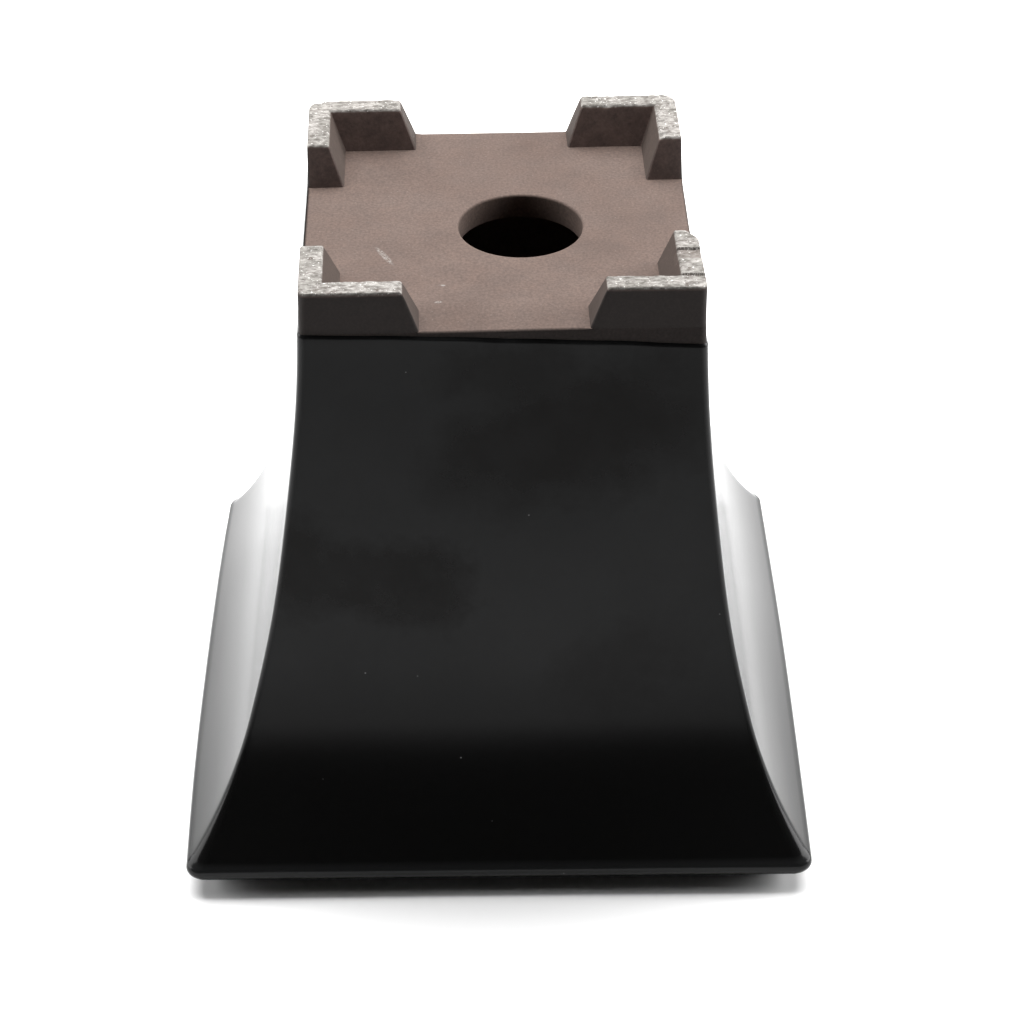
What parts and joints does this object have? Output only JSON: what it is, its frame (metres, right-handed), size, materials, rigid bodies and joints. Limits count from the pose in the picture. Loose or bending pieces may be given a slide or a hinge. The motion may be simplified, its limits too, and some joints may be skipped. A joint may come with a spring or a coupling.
{
  "type": "square bonsai pot",
  "caption": "Square flared ceramic bonsai pot with corner feet and a drain hole, glazed outside, stored upside down on its rim.",
  "frame": {"origin": "centre of the level face that the rim rests on, at Z = 0, with the pot upside down", "axes": "+Z from the rim towards the feet, +Y to the back, +X to the right; in use the pot is turned over, so its mouth opens towards -Z"},
  "size_m": [0.1272, 0.1272, 0.1265],
  "materials": {
    "bare_clay": "unglazed fired clay, fine sandy grain",
    "foot_clay": "dark unglazed clay, ground pale at the feet's ends",
    "black_glaze": "glossy black glaze, slightly wavy"
  },
  "bodies": {
    "root": {"floor_slab": "bare_clay", "wall_back": "bare_clay", "wall_left": "bare_clay", "wall_front": "bare_clay", "wall_right": "bare_clay", "corner_coil_back_right": "bare_clay", "corner_coil_back_left": "bare_clay", "corner_coil_front_left": "bare_clay", "corner_coil_front_right": "bare_clay", "floor_coil": "bare_clay", "foot_back_right": "foot_clay", "foot_back_left": "foot_clay", "foot_front_left": "foot_clay", "foot_front_right": "foot_clay", "glaze_coat": "black_glaze"}
  },
  "joints": []
}
